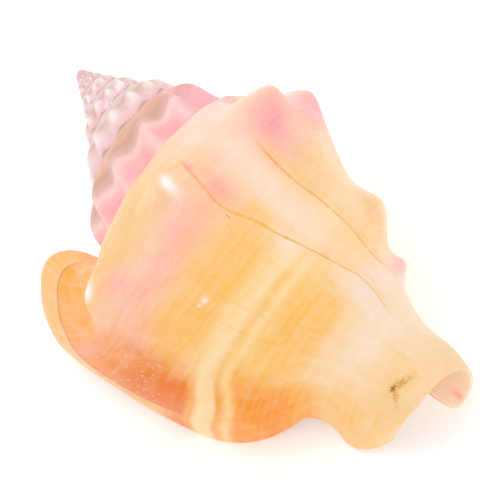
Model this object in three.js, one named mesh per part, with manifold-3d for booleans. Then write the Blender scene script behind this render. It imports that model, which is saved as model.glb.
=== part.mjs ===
// A conch shell, grown as one piece: every surface follows one growth rule,
// a cross-section that turns about the shell's axis and widens as it turns.
// Millimetres. The shell lies on its opening, as on a table, with +Z up,
// and its axis runs along X, from the pointed spire to the canal.

import * as THREE from "three";
import { mergeVertices } from "three/addons/utils/BufferGeometryUtils.js";
import Module from "manifold-3d";

// ---- growth -------------------------------------------------------------
const WIDENING = 1.53;          // how much the tube widens in one whorl
const LIP_TURN = 108;           // degrees round the axis where growth stopped
const WHORLS = 7.6;             // whorls from the tip to the lip
const CAVITY_TURNS = 1.15;      // how far the open room runs back behind the lip
const COVER = 0.28;             // part of the section left bare by the next whorl
const BARE_MORE = 4;            // the last whorl covers this much less of the one before
const SEAT_REACH = 0.12;        // part of the section that leans onto the whorl before
const TIP_NARROWS = 0.13;       // how much slimmer the spire's tip is than the rule makes it
const TIP_NARROWS_AT = 0.45;    // at whorls of about this size and smaller
const TIP_DRAWN_OUT = 3.7;      // the tip is drawn out to a point by this much
const TIP_DRAWN_AT = 0.13;      // at whorls of about this size and smaller
const LIP_OPENS_ABOVE = 0.14;   // turns over which the lip's upper part flares out
const LIP_OPENS_BELOW = 0.3;    // and its lower part

// ---- the cross-section: [along the section, from the axis, down the axis] --
const BODY_SECTION = [
  [0.00, 37.7, 54.0], [0.07, 44.0, 58.1], [0.15, 49.6, 66.6], [0.22, 54.8, 75.1],
  [0.28, 56.6, 82.5], [0.38, 54.0, 96.9], [0.50, 48.1, 114.0], [0.62, 39.2, 130.2],
  [0.72, 29.6, 143.6], [0.82, 20.6, 156.1], [0.91, 15.2, 169.5], [1.00, 12.6, 185.0],
];
const SPIRE_SECTION = [
  [0.00, 37.7, 54.0], [0.07, 41.0, 57.0], [0.15, 45.0, 65.2], [0.22, 50.2, 74.4],
  [0.28, 55.2, 82.5],
];
const LIP_SECTION = [
  [0.00, 41.4, 48.0], [0.06, 48.4, 39.4], [0.12, 60.8, 35.4], [0.18, 71.2, 41.6],
  [0.25, 78.6, 54.0], [0.33, 80.0, 66.6], [0.43, 76.2, 88.8], [0.53, 72.5, 111.0],
  [0.63, 67.0, 132.5], [0.70, 58.0, 144.0], [0.75, 47.4, 149.8], [0.785, 41.2, 152.0],
  [0.83, 37.8, 160.9], [0.88, 39.4, 170.6], [0.94, 35.8, 178.0], [1.00, 27.4, 182.8],
];

// ---- knobs: [degrees, place on the section, height, half width in degrees] --
const KNOBS = [
  [55, 0.205, 9.5, 9.5], [4, 0.225, 9.5, 8.5], [-50, 0.225, 8.8, 7.5], [-91, 0.25, 5.8, 8.5],
  [-140, 0.23, 6.5, 9], [-177, 0.23, 5.3, 9], [-212, 0.23, 4.8, 8.5], [-246, 0.20, 5.4, 7.5],
  [-279, 0.17, 6.8, 7],
];
const SPIRE_KNOB = { every: 29, place: 0.165, height: 7.0, halfWidth: 6.8, below: 0.12 };
const KNOB_ABOVE = 0.075;       // how far a knob reaches towards the spire
const KNOB_BELOW = 0.07;        // and towards the canal
const KNOB_LIFT = 0.25;         // a knob points this much towards the spire as it stands out
const FOLD_SHARE = 0.22;        // height of the low fold that runs on from a knob
const FOLD_REACH = 0.2;         // and its reach
// soft swellings of the body: [degrees, section, height, degrees wide, section wide]
const SWELLINGS = [
  [-95, 0.60, 5.6, 30, 0.055], [-105, 0.735, 5.2, 25, 0.03], [-80, 0.47, -2.6, 28, 0.08],
  [-70, 0.85, -1.6, 30, 0.06], [-65, 0.125, -8.5, 24, 0.065], [-455, 0.20, -2.6, 36, 0.12],
  [-75, 0.95, 1.8, 32, 0.05],
];

// ---- the canal and the wall ------------------------------------------------
const CANAL_SHIFT = 11;         // the canal turns away from the lip
const CANAL_LIFT = 3.7;         // and up
const CANAL_FROM = 85;          // the bend begins here, down the axis
const CANAL_TO = 192;
const CANAL_TIGHTENS = 0.6;     // how much faster than the body the canal winds in
const SPIRE_LEAN = 1.5;         // the spire's tip leans back
const TIP_LENGTH = 1.2;         // the very tip, beyond the first whorl
const PILLAR_DRAWN_IN = 0.62;   // the pillar's end is this much thinner than the canal
const PILLAR_DRAWN_UP = 34;     // and this much shorter
const TIP_REACH = 6.7;          // the canal's end is longer on its under side
const WALL = 2.3;
const CANAL_THINS = 0.45;       // the share of the wall that is missing at the canal's end
const LIP_WALL = 2.2;           // extra thickness behind the lip
const LIP_WALL_BACK = 24;       // degrees behind the edge where it is thickest

// ---- how the shell lies ----------------------------------------------------
const REST_TURNS = [7.8, 16.62];       // degrees about X, then about Y
const WORN = 0.8;               // depth of the worn spots that it rests on

// ---- fineness of the mesh --------------------------------------------------
const STEPS = 36;               // round one whorl
const SECTION = [0, 0.03, 0.07, 0.11, 0.15, 0.185, 0.23, COVER, 0.31, 0.36, 0.42, 0.48,
  0.54, 0.6, 0.65, 0.7, 0.74, 0.77, 0.8, 0.835, 0.87, 0.905, 0.95, 1];

const radians = THREE.MathUtils.degToRad;
// 0 at "from", 1 at "to", easing between; "from" may be the larger of the two
const smooth = (from, to, x) => (from < to
  ? THREE.MathUtils.smoothstep(x, from, to)
  : 1 - THREE.MathUtils.smoothstep(x, to, from));
const bell = (x) => Math.exp(-x * x);

// A smooth curve through the rows of a section: gives [from axis, down the axis].
function curveThrough(rows) {
  const at = rows.map((row) => row[0]);
  const columns = [1, 2].map((column) => naturalSpline(at, rows.map((row) => row[column])));
  return (v) => columns.map((spline) => spline(v));
}

function naturalSpline(xs, ys) {
  const count = xs.length;
  const second = new Array(count).fill(0);
  const carry = new Array(count).fill(0);
  for (let k = 1; k < count - 1; k += 1) {
    const share = (xs[k] - xs[k - 1]) / (xs[k + 1] - xs[k - 1]);
    const pivot = share * second[k - 1] + 2;
    const rise = (ys[k + 1] - ys[k]) / (xs[k + 1] - xs[k]) - (ys[k] - ys[k - 1]) / (xs[k] - xs[k - 1]);
    second[k] = (share - 1) / pivot;
    carry[k] = ((6 * rise) / (xs[k + 1] - xs[k - 1]) - share * carry[k - 1]) / pivot;
  }
  for (let k = count - 2; k >= 0; k -= 1) second[k] = second[k] * second[k + 1] + carry[k];
  return (x) => {
    let k = 1;
    while (k < count - 1 && xs[k] < x) k += 1;
    const width = xs[k] - xs[k - 1];
    const a = (xs[k] - x) / width;
    const b = 1 - a;
    const bend = ((a ** 3 - a) * second[k - 1] + (b ** 3 - b) * second[k]) * width * width / 6;
    return a * ys[k - 1] + b * ys[k] + bend;
  };
}

const bodySection = curveThrough(BODY_SECTION);
const spireSection = curveThrough(SPIRE_SECTION);
const lipSection = curveThrough(LIP_SECTION);

// One knob: a peak with a broader foot, and a low fold that runs on towards the canal.
function knobShape(turnOff, off, halfWidth, below) {
  const peak = 0.65 * bell(turnOff / halfWidth) + 0.35 * bell(turnOff / (2 * halfWidth));
  if (off <= 0) return peak * bell(off / KNOB_ABOVE);
  return peak * ((1 - FOLD_SHARE) * bell(off / below) + FOLD_SHARE * bell(off / FOLD_REACH));
}

function knobHeight(turn, v) {
  let sum = 0;
  for (const [at, place, height, halfWidth] of KNOBS) {
    sum += height * knobShape(turn - at, v - place, halfWidth, KNOB_BELOW);
  }
  const { every, place, height, halfWidth, below } = SPIRE_KNOB;
  const oldest = KNOBS.at(-1)[0];
  if (turn < oldest - every / 2) {
    const steps = (turn - oldest) / every;
    const nearest = (steps - Math.round(steps)) * every;
    sum += height * knobShape(nearest, v - place, halfWidth, below);
  }
  return sum;
}

// The growth rule: where the shell's outside is at one turn and one place on
// the section, as a distance from the axis and a distance down it.
function section(turn, v, withKnobs) {
  const size = WIDENING ** (turn / 360);
  let [out, down] = bodySection(v);
  const young = smooth(-120, -300, turn);
  if (v <= COVER + 0.001) {
    const [spireOut, spireDown] = spireSection(Math.min(v, COVER));
    out += young * (spireOut - out);
    down += young * (spireDown - down);
  }
  const tighten = 1 + CANAL_TIGHTENS * smooth(0.45, 1, v);
  const keep = 1 - smooth(COVER, 1, v);
  out *= size ** tighten * (1 - TIP_NARROWS * bell(size / TIP_NARROWS_AT));
  down = down * size ** keep - TIP_DRAWN_OUT * Math.exp(-size / TIP_DRAWN_AT);

  // the lip opens out from the last part of the last whorl
  const lipSize = WIDENING ** (LIP_TURN / 360);
  const [lipOut, lipDown] = lipSection(v);
  const [bodyOut, bodyDown] = bodySection(v);
  const back = (turn - LIP_TURN) / 360;
  const upper = Math.max(0, 1 + back / LIP_OPENS_ABOVE) ** 1.8;
  const lower = Math.max(0, 1 + back / LIP_OPENS_BELOW) ** 2;
  const open = upper + (lower - upper) * smooth(0.2, 0.5, v);
  out += open * (lipOut - bodyOut * lipSize ** tighten);
  down += open * (lipDown - bodyDown * lipSize ** keep);

  const underside = (TIP_REACH / 2) * (1 - Math.cos(radians(turn)));
  down += underside * smooth(0.7, 1, v) * smooth(100, 30, turn);
  for (const [at, place, height, wide, tall] of SWELLINGS) {
    out += height * bell((turn - at) / wide) * bell((v - place) / tall);
  }
  const bare = smooth(-620, -300, turn) * young * smooth(0.1, COVER, v) * smooth(0.6, COVER, v);
  down += bare * BARE_MORE;

  const withdrawn = smooth(-190, -300, turn) * smooth(0.62, 1, v);
  out *= 1 - withdrawn * PILLAR_DRAWN_IN;
  down -= withdrawn * PILLAR_DRAWN_UP;
  if (withKnobs) {
    const knob = knobHeight(turn, v) * size;
    out += knob;
    down -= knob * KNOB_LIFT;
  }
  return [out, down];
}

// A point of the outside. The section's first edge is seated on the whorl before.
function outside(turn, v, withKnobs = true) {
  let [out, down] = section(turn, v, withKnobs);
  const seat = Math.max(0, 1 - v / SEAT_REACH) ** 2;
  if (seat > 0) {
    const [ownOut, ownDown] = section(turn, 0, withKnobs);
    const [oldOut, oldDown] = section(turn - 360, COVER, withKnobs);
    out += seat * (oldOut - ownOut);
    down += seat * (oldDown - ownDown);
  }
  const bend = smooth(CANAL_FROM, CANAL_TO, down);
  const lean = smooth(60, 8, down) * SPIRE_LEAN;
  return new THREE.Vector3(
    down,
    bend * CANAL_SHIFT + lean - out * Math.sin(radians(turn)),
    out * Math.cos(radians(turn)) + CANAL_LIFT * bend,
  );
}

function outwardNormal(turn, v) {
  const low = Math.max(0, v - 0.01);
  const high = Math.min(1, v + 0.01);
  const alongGrowth = outside(turn + 1, v, false).sub(outside(turn - 1, v, false));
  const alongSection = outside(turn, high, false).sub(outside(turn, low, false));
  return alongGrowth.cross(alongSection).normalize();
}

function wallAt(turn, v) {
  const size = WIDENING ** (turn / 360);
  const thick = bell((turn - LIP_TURN + LIP_WALL_BACK) / LIP_WALL_BACK);
  const lip = LIP_WALL * thick * smooth(0.05, 0.25, v) * smooth(1, 0.8, v);
  return WALL * Math.sqrt(size) * (1 - CANAL_THINS * smooth(0.7, 1, v)) + lip;
}

// A point of the inside: the outside without its knobs, moved in by the wall.
function inside(turn, v) {
  const normal = outwardNormal(turn, v);
  return outside(turn, v, false).addScaledVector(normal, -wallAt(turn, v));
}

// ---- the closed skin ---------------------------------------------------------
const lastStep = Math.round(WHORLS * STEPS);
const firstInner = lastStep - Math.round(CAVITY_TURNS * STEPS);
const bottom = SECTION.length - 1;
const cover = SECTION.indexOf(COVER);
const turnOf = (step) => LIP_TURN + ((step - lastStep) * 360) / STEPS;

const places = [];
const corners = [];
const known = new Map();

function vertex(name, make) {
  if (!known.has(name)) {
    known.set(name, places.length / 3);
    places.push(...make().toArray());
  }
  return known.get(name);
}

function outer(step, row) {
  if (row === 0 && step >= STEPS) return outer(step - STEPS, cover);
  return vertex(`outer ${step} ${row}`, () => outside(turnOf(step), SECTION[row]));
}

function inner(step, row) {
  if (row === 0) return outer(step - STEPS, cover + 1);
  return vertex(`inner ${step} ${row}`, () => inside(turnOf(step), SECTION[row]));
}

// The rounded edge between the two faces, along the lip and round the canal's end.
function edge(step, row, direction) {
  return vertex(`edge ${step} ${row}`, () => {
    const a = new THREE.Vector3().fromArray(places, outer(step, row) * 3);
    const b = new THREE.Vector3().fromArray(places, inner(step, row) * 3);
    const half = a.distanceTo(b) * 0.4;
    return a.add(b).multiplyScalar(0.5).addScaledVector(direction(), half);
  });
}

function lipEdge(row) {
  const v = SECTION[row];
  return edge(lastStep, row, () =>
    outside(LIP_TURN, v, false).sub(outside(LIP_TURN - 2, v, false)).normalize());
}

function rimEdge(step) {
  if (step === lastStep) return lipEdge(bottom);
  const turn = turnOf(step);
  return edge(step, bottom, () => outside(turn, 1, false).sub(outside(turn, 0.98, false)).normalize());
}

function triangle(a, b, c) {
  if (a !== b && b !== c && c !== a) corners.push(a, b, c);
}

function quad(a, b, c, d) {
  triangle(a, b, c);
  triangle(a, c, d);
}

function sheet(steps, rows, point, flip) {
  for (let step = steps[0]; step < steps[1]; step += 1) {
    for (let row = rows[0]; row < rows[1]; row += 1) {
      const square = [[0, 0], [1, 0], [1, 1], [0, 1]].map(([a, b]) => point(step + a, row + b));
      if (flip) square.reverse();
      quad(...square);
    }
  }
}

function fan(ring, centre) {
  for (let k = 0; k < ring.length; k += 1) triangle(ring[k], ring[(k + 1) % ring.length], centre);
}

function middleOf(ring, name) {
  return vertex(name, () => {
    const sum = new THREE.Vector3();
    for (const index of ring) sum.add(new THREE.Vector3().fromArray(places, index * 3));
    return sum.divideScalar(ring.length);
  });
}

function range(from, to) {
  const step = Math.sign(to - from);
  return Array.from({ length: Math.abs(to - from) + 1 }, (_, k) => from + k * step);
}

// the spire's whorls, down to where the next whorl covers them
sheet([0, lastStep - STEPS], [0, cover], outer, false);
// the last whorl, from its seam to the canal's end
sheet([lastStep - STEPS, lastStep], [0, bottom], outer, false);
// the whorl before it, seen through the opening
sheet([firstInner - STEPS, lastStep - STEPS], [cover + 1, bottom], outer, false);
// the inside of the wall
sheet([firstInner, lastStep], [0, bottom], inner, true);

// the lip's rounded edge
for (let row = 0; row < bottom; row += 1) {
  if (row === 0) {
    triangle(outer(lastStep, 0), inner(lastStep, 0), lipEdge(1));
    triangle(outer(lastStep, 0), lipEdge(1), outer(lastStep, 1));
    triangle(inner(lastStep, 0), inner(lastStep, 1), lipEdge(1));
  } else {
    quad(outer(lastStep, row), lipEdge(row), lipEdge(row + 1), outer(lastStep, row + 1));
    quad(lipEdge(row), inner(lastStep, row), inner(lastStep, row + 1), lipEdge(row + 1));
  }
}

// the rounded rim at the canal's end
for (let step = firstInner; step < lastStep; step += 1) {
  if (step === firstInner) {
    triangle(outer(step, bottom), outer(step + 1, bottom), rimEdge(step + 1));
    triangle(outer(step, bottom), rimEdge(step + 1), inner(step, bottom));
    triangle(inner(step, bottom), rimEdge(step + 1), inner(step + 1, bottom));
  } else {
    quad(outer(step, bottom), outer(step + 1, bottom), rimEdge(step + 1), rimEdge(step));
    quad(rimEdge(step), rimEdge(step + 1), inner(step + 1, bottom), inner(step, bottom));
  }
}

// the end of the central pillar
const pillar = range(firstInner - STEPS, firstInner).map((step) => outer(step, bottom));
pillar.push(inner(firstInner, bottom));
fan(pillar, middleOf(pillar, "pillar end"));

// the far end of the room inside, where the whorls are closed off
const farEnd = range(bottom, cover + 1).map((row) => outer(firstInner - STEPS, row));
farEnd.push(...range(1, bottom).map((row) => inner(firstInner, row)));
fan(farEnd.reverse(), middleOf(farEnd, "far end"));

// the tip of the spire
const tipRing = range(0, cover).map((row) => outer(0, row));
tipRing.push(...range(STEPS - 1, 1).map((step) => outer(step, 0)));
const tip = vertex("tip", () => new THREE.Vector3(outside(turnOf(0), 0).x - TIP_LENGTH, SPIRE_LEAN, 0));
fan(tipRing, tip);

// ---- lay it down, wear the resting spots flat, and stand it on z = 0 ----------
function signedVolume(points, faces) {
  let six = 0;
  const p = (k) => new THREE.Vector3().fromArray(points, faces[k] * 3);
  for (let k = 0; k < faces.length; k += 3) six += p(k).dot(p(k + 1).cross(p(k + 2)));
  return six / 6;
}
if (signedVolume(places, corners) < 0) corners.reverse();

const skin = new THREE.BufferGeometry();
skin.setAttribute("position", new THREE.Float32BufferAttribute(places, 3));
skin.setIndex(corners);
skin.rotateX(radians(REST_TURNS[0]));
skin.rotateY(radians(REST_TURNS[1]));
skin.computeBoundingBox();
const box = skin.boundingBox;
skin.translate(-(box.min.x + box.max.x) / 2, -(box.min.y + box.max.y) / 2, -box.min.z - WORN);

const manifold = await Module();
manifold.setup();
const whole = new manifold.Manifold(new manifold.Mesh({
  numProp: 3,
  vertProperties: Float32Array.from(skin.attributes.position.array),
  triVerts: Uint32Array.from(skin.index.array),
}));
const worn = whole.trimByPlane([0, 0, 1], 0).getMesh();

const geometry = mergeVertices(new THREE.BufferGeometry()
  .setAttribute("position", new THREE.BufferAttribute(worn.vertProperties, 3))
  .setIndex(new THREE.BufferAttribute(worn.triVerts, 1)));

const shell = new THREE.Mesh(geometry, new THREE.MeshStandardMaterial({
  color: 0xf6c48c,
  roughness: 0.32,
  metalness: 0,
}));
shell.name = "shell";
shell.material.name = "shell_lime";

const group = new THREE.Group();
group.name = "conch_shell";
group.add(shell);

export default group;
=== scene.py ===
# %% [markdown]
# # A conch shell that grows
# A sea snail builds its shell by adding a thin strip at the opening, again and again. Each strip
# is turned a little further round the shell's axis and is a little larger than the one before.
# So the whole shell, however rich it looks, is one cross-section and one rule. This lesson
# builds that rule in Geometry Nodes, lets it grow the shell as one closed skin, and then paints
# it with a material that knows, at every spot, how old the shell is there.

# %% Load the frame
import math

import bmesh
import bpy
from mathutils import Euler, Matrix, Vector


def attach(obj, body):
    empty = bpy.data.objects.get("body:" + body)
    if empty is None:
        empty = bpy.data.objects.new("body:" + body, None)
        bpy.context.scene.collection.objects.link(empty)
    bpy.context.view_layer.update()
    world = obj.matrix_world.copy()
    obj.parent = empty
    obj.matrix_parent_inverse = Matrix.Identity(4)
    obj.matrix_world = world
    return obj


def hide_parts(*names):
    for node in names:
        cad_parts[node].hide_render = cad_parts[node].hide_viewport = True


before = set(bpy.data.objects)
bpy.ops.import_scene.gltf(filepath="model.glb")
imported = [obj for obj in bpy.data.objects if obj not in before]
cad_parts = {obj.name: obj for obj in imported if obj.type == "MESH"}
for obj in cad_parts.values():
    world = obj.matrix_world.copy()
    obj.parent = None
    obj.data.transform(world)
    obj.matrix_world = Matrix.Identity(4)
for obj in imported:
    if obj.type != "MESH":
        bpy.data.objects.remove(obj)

bpy.context.view_layer.update()

# %% [markdown]
# ## The driving sizes
# The shell is described in millimetres about its own axis, which is easier to think in than a
# shell lying on its side. Two lengths place a point: how far it is from the axis (out) and how
# far down the axis it lies, from the spire's tip towards the canal (down). A turn is counted in
# degrees: 0 is the middle of the back, and growth stopped at the lip, at 108 degrees.

# %% The driving sizes
WIDENING = 1.53        # each whorl is this much larger than the one before
LIP_TURN = 108.0       # where growth stopped
WHORLS = 7.6           # from the spire's tip to the lip
COVER = 0.28           # the share of the section that the next whorl leaves bare
BARE_MORE = 4.0        # the last whorl covers this much less of the one before, mm
SEAT = 0.03            # the share that the next whorl's wall sits on
SEAT_REACH = 0.12      # how far down the section a new whorl leans on the older one
ROOM_TURNS = 1.15      # how far the open room runs back behind the lip
CANAL_SHIFT = 11.0     # the canal turns away from the lip, mm
CANAL_LIFT = 3.7       # and up, mm
CANAL_FROM, CANAL_TO = 85.0, 192.0
SPIRE_LEAN = 1.5       # the spire's tip leans back by this much, mm
TIP_LENGTH = 1.2       # the spire's closed tip, mm
TIP_NARROWS, TIP_NARROWS_AT = 0.13, 0.45     # how much slimmer the young spire is, and at what size
TIP_DRAWN_OUT, TIP_DRAWN_AT = 3.7, 0.13      # mm, and at what size
LIP_OPENS_ABOVE, LIP_OPENS_BELOW = 0.14, 0.3 # turns over which the lip flares, above and below
TIP_REACH = 6.7        # the canal's end is longer on its under side, mm
CANAL_TIGHTENS = 0.6   # how much faster than the body the canal winds in
PILLAR_DRAWN_IN = 0.62 # the pillar's end is this much thinner than the canal
PILLAR_DRAWN_UP = 34.0 # and this much shorter, mm
WALL = 2.3             # mm
CANAL_THINS = 0.45     # the share of the wall that is missing at the canal's end
LIP_WALL = 2.2         # extra thickness just behind the lip, mm
LIP_WALL_BACK = 24.0   # degrees behind the lip where the wall is thickest
SPIRE_SHAPED = (-120, -300)              # over these turns the body section becomes the spire's
BARE_TURNS = (-620, -300)                # where the older whorl starts to show more of itself
PILLAR_TURNS = (-190, -300)              # over these turns the pillar's end draws in
REST_TURNS = (7.8, 16.62)                # how the shell lies: degrees about X, then about Y
REST_PLACE = (-90.79, 8.71, 63.86)       # mm
MM = 0.001
print("one whorl is", WIDENING, "times the size of the one before")

# %% [markdown]
# ## The cross-section
# Three curves hold the shape. The body section runs from the seam with the older whorl, over
# the shoulder, down the body and along the canal. The spire section is what the young shell
# made, with a flatter side. The lip section is the outline of the flared lip, with the notch
# near its lower end. Each row is a place on the section (0 to 1), then out and down in mm. A
# smooth curve through a dozen points is enough, because a grown thing has no corners.

# %% The cross-section
BODY_SECTION = [
    (0.00, 37.7, 54.0), (0.07, 44.0, 58.1), (0.15, 49.6, 66.6), (0.22, 54.8, 75.1),
    (0.28, 56.6, 82.5), (0.38, 54.0, 96.9), (0.50, 48.1, 114.0), (0.62, 39.2, 130.2),
    (0.72, 29.6, 143.6), (0.82, 20.6, 156.1), (0.91, 15.2, 169.5), (1.00, 12.6, 185.0),
]
SPIRE_SECTION = [
    (0.00, 37.7, 54.0), (0.07, 41.0, 57.0), (0.15, 45.0, 65.2), (0.22, 50.2, 74.4),
    (0.28, 55.2, 82.5), (1.00, 55.2, 82.5),
]
LIP_SECTION = [
    (0.00, 41.4, 48.0), (0.06, 48.4, 39.4), (0.12, 60.8, 35.4), (0.18, 71.2, 41.6),
    (0.25, 78.6, 54.0), (0.33, 80.0, 66.6), (0.43, 76.2, 88.8), (0.53, 72.5, 111.0),
    (0.63, 67.0, 132.5), (0.70, 58.0, 144.0), (0.75, 47.4, 149.8), (0.785, 41.2, 152.0),
    (0.83, 37.8, 160.9), (0.88, 39.4, 170.6), (0.94, 35.8, 178.0), (1.00, 27.4, 182.8),
]
CURVE_UNIT = 200       # mm; every value of the curves is under it
print("the body's widest radius is", max(row[1] for row in BODY_SECTION), "mm")

# %% [markdown]
# ## Knobs and swellings
# Along the shoulder stands a row of knobs. On the last whorl they are few and large and each
# was set down at its own time, so they are listed one by one: degrees, place on the section,
# height in mm and half width in degrees. Further back they repeat so evenly that one spacing
# describes them all.

# %% Knobs and swellings
KNOBS = [
    (55, 0.205, 9.5, 9.5), (4, 0.225, 9.5, 8.5), (-50, 0.225, 8.8, 7.5), (-91, 0.25, 5.8, 8.5),
    (-140, 0.23, 6.5, 9), (-177, 0.23, 5.3, 9), (-212, 0.23, 4.8, 8.5), (-246, 0.20, 5.4, 7.5),
    (-279, 0.17, 6.8, 7),
]
SPIRE_KNOB_EVERY, SPIRE_KNOB_HEIGHT, SPIRE_KNOB_WIDE = 29.0, 7.0, 6.8
SPIRE_KNOB_AT, SPIRE_KNOB_BELOW = 0.165, 0.12
KNOB_ABOVE, KNOB_BELOW = 0.075, 0.07     # a knob's reach on the section
KNOB_LIFT = 0.25                         # the share of its height that points up the spire
KNOB_FOOT = 0.35                         # the share of its height that is a foot, twice as wide
FOLD_SHARE, FOLD_REACH = 0.22, 0.2       # the low fold that runs on from each knob
# degrees, place on the section, height in mm, degrees wide, wide on the section
SWELLINGS = [
    (-95, 0.60, 5.6, 30, 0.055), (-105, 0.735, 5.2, 25, 0.03), (-80, 0.47, -2.6, 28, 0.08),
    (-70, 0.85, -1.6, 30, 0.06), (-65, 0.125, -8.5, 24, 0.065),
    (-455, 0.20, -2.6, 36, 0.12), (-75, 0.95, 1.8, 32, 0.05),
]
print(len(KNOBS), "knobs set one by one,", len(SWELLINGS), "soft swellings and hollows")

# %% [markdown]
# ## Arithmetic on fields
# A Geometry Nodes tree is a sum written in boxes. Wiring sixty Math nodes by hand hides what
# they mean, so this small class lets the script write the sum as a sum: every `+` or `*` on a
# Field adds one Math node and hands back its output. The same class serves the material later.

# %% Arithmetic on fields
class Field:
    """A number at every point of the surface; arithmetic on it adds Math nodes to its tree."""

    def __init__(self, tree, socket):
        self.tree = tree
        self.socket = socket

    def math(self, operation, *others):
        node = self.tree.nodes.new("ShaderNodeMath")
        node.operation = operation
        for slot, value in zip(node.inputs, (self,) + others):
            feed(self.tree, value, slot)
        return Field(self.tree, node.outputs[0])

    def __add__(self, other): return self.math("ADD", other)
    def __radd__(self, other): return self.math("ADD", other)
    def __mul__(self, other): return self.math("MULTIPLY", other)
    def __rmul__(self, other): return self.math("MULTIPLY", other)
    def __sub__(self, other): return self.math("SUBTRACT", other)
    def __rsub__(self, other): return self.math("MULTIPLY", -1.0).math("ADD", other)
    def __truediv__(self, other): return self.math("DIVIDE", other)
    def __neg__(self): return self.math("MULTIPLY", -1.0)
    def __pow__(self, other): return self.math("POWER", other)


def feed(tree, value, slot):
    """Puts a number into a socket, or wires a Field to it."""
    if isinstance(value, Field):
        tree.links.new(value.socket, slot)
    else:
        slot.default_value = value


def smooth(field, start, end):
    """0 before start, 1 after end, and an easy slope between."""
    node = field.tree.nodes.new("ShaderNodeMapRange")
    node.interpolation_type = "SMOOTHSTEP"
    feed(field.tree, field, node.inputs["Value"])
    low, high = (0.0, 1.0) if start < end else (1.0, 0.0)
    node.inputs["From Min"].default_value = min(start, end)
    node.inputs["From Max"].default_value = max(start, end)
    node.inputs["To Min"].default_value = low
    node.inputs["To Max"].default_value = high
    return Field(field.tree, node.outputs["Result"])


def bell(field):
    """A soft hump: 1 at 0, fading on both sides."""
    return (-(field * field)).math("EXPONENT")


def blend(a, b, share):
    """a where share is 0, b where it is 1."""
    return a + share * (b - a)


def drawn_curve(field, rows, unit):
    """A smooth curve through (place, value) rows, as a Float Curve node; values are under unit."""
    node = field.tree.nodes.new("ShaderNodeFloatCurve")
    curve = node.mapping.curves[0]
    node.mapping.use_clip = False
    while len(curve.points) < len(rows):
        curve.points.new(0.5, 0.5)
    for point, (place, value) in zip(curve.points, rows):
        point.location = (place, value / unit)
        point.handle_type = "AUTO"
    node.mapping.update()
    feed(field.tree, field, node.inputs["Value"])
    return Field(field.tree, node.outputs[0]) * unit


# %% [markdown]
# ## Node groups
# A group is a sum with a name. Each one below answers a single question about the shell, and
# the next group asks it as often as it needs: the seat of a new whorl, for instance, asks
# where the older whorl's surface is, which is the same question one whole turn earlier.

# %% Helpers for node groups
def new_group(name, takes, gives):
    tree = bpy.data.node_groups.new(name, "GeometryNodeTree")
    for socket, kind in takes:
        tree.interface.new_socket(socket, in_out="INPUT", socket_type=kind)
    for socket, kind in gives:
        tree.interface.new_socket(socket, in_out="OUTPUT", socket_type=kind)
    ends = tree.nodes.new("NodeGroupInput"), tree.nodes.new("NodeGroupOutput")
    given = {socket.name: Field(tree, socket) for socket in ends[0].outputs if socket.name}
    return tree, given, ends[1]


def ask(group, tree, *values):
    """Uses a node group inside another tree and returns its outputs as Fields."""
    node = tree.nodes.new("GeometryNodeGroup")
    node.node_tree = group
    for value, slot in zip(values, node.inputs):
        feed(tree, value, slot)
    return [Field(tree, socket) for socket in node.outputs]


def vector(tree, operation, *values):
    node = tree.nodes.new("ShaderNodeVectorMath")
    node.operation = operation
    vectors = [slot for slot in node.inputs if slot.name != "Scale"]
    for value, slot in zip(values, vectors):
        feed(tree, value, slot)
    return Field(tree, node.outputs["Value" if operation in ("LENGTH", "DISTANCE") else "Vector"])


def scaled(tree, a, amount):
    node = tree.nodes.new("ShaderNodeVectorMath")
    node.operation = "SCALE"
    feed(tree, a, node.inputs[0])
    feed(tree, amount, node.inputs["Scale"])
    return Field(tree, node.outputs["Vector"])


def blend_vectors(tree, a, b, share):
    node = tree.nodes.new("ShaderNodeMix")
    node.data_type = "VECTOR"
    feed(tree, share, node.inputs[0])
    feed(tree, a, node.inputs[4])
    feed(tree, b, node.inputs[5])
    return Field(tree, node.outputs[1])


FLOAT, VECTOR = "NodeSocketFloat", "NodeSocketVector"

# %% [markdown]
# ## The growth rule
# The section is scaled by the widening raised to the number of turns, so it grows by the same
# share in every turn. Towards the canal the rule changes: the canal keeps its length and
# tightens faster, which is what winds it into a pillar. Over the last part of the last whorl
# the section opens into the lip. The knobs stand out from the shoulder by their listed height.

# %% The growth rule
def section_curves(across, rows):
    """How far out and how far down a section runs."""
    out = drawn_curve(across, [(place, out) for place, out, down in rows], CURVE_UNIT)
    down = drawn_curve(across, [(place, down) for place, out, down in rows], CURVE_UNIT)
    return out, down


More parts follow.
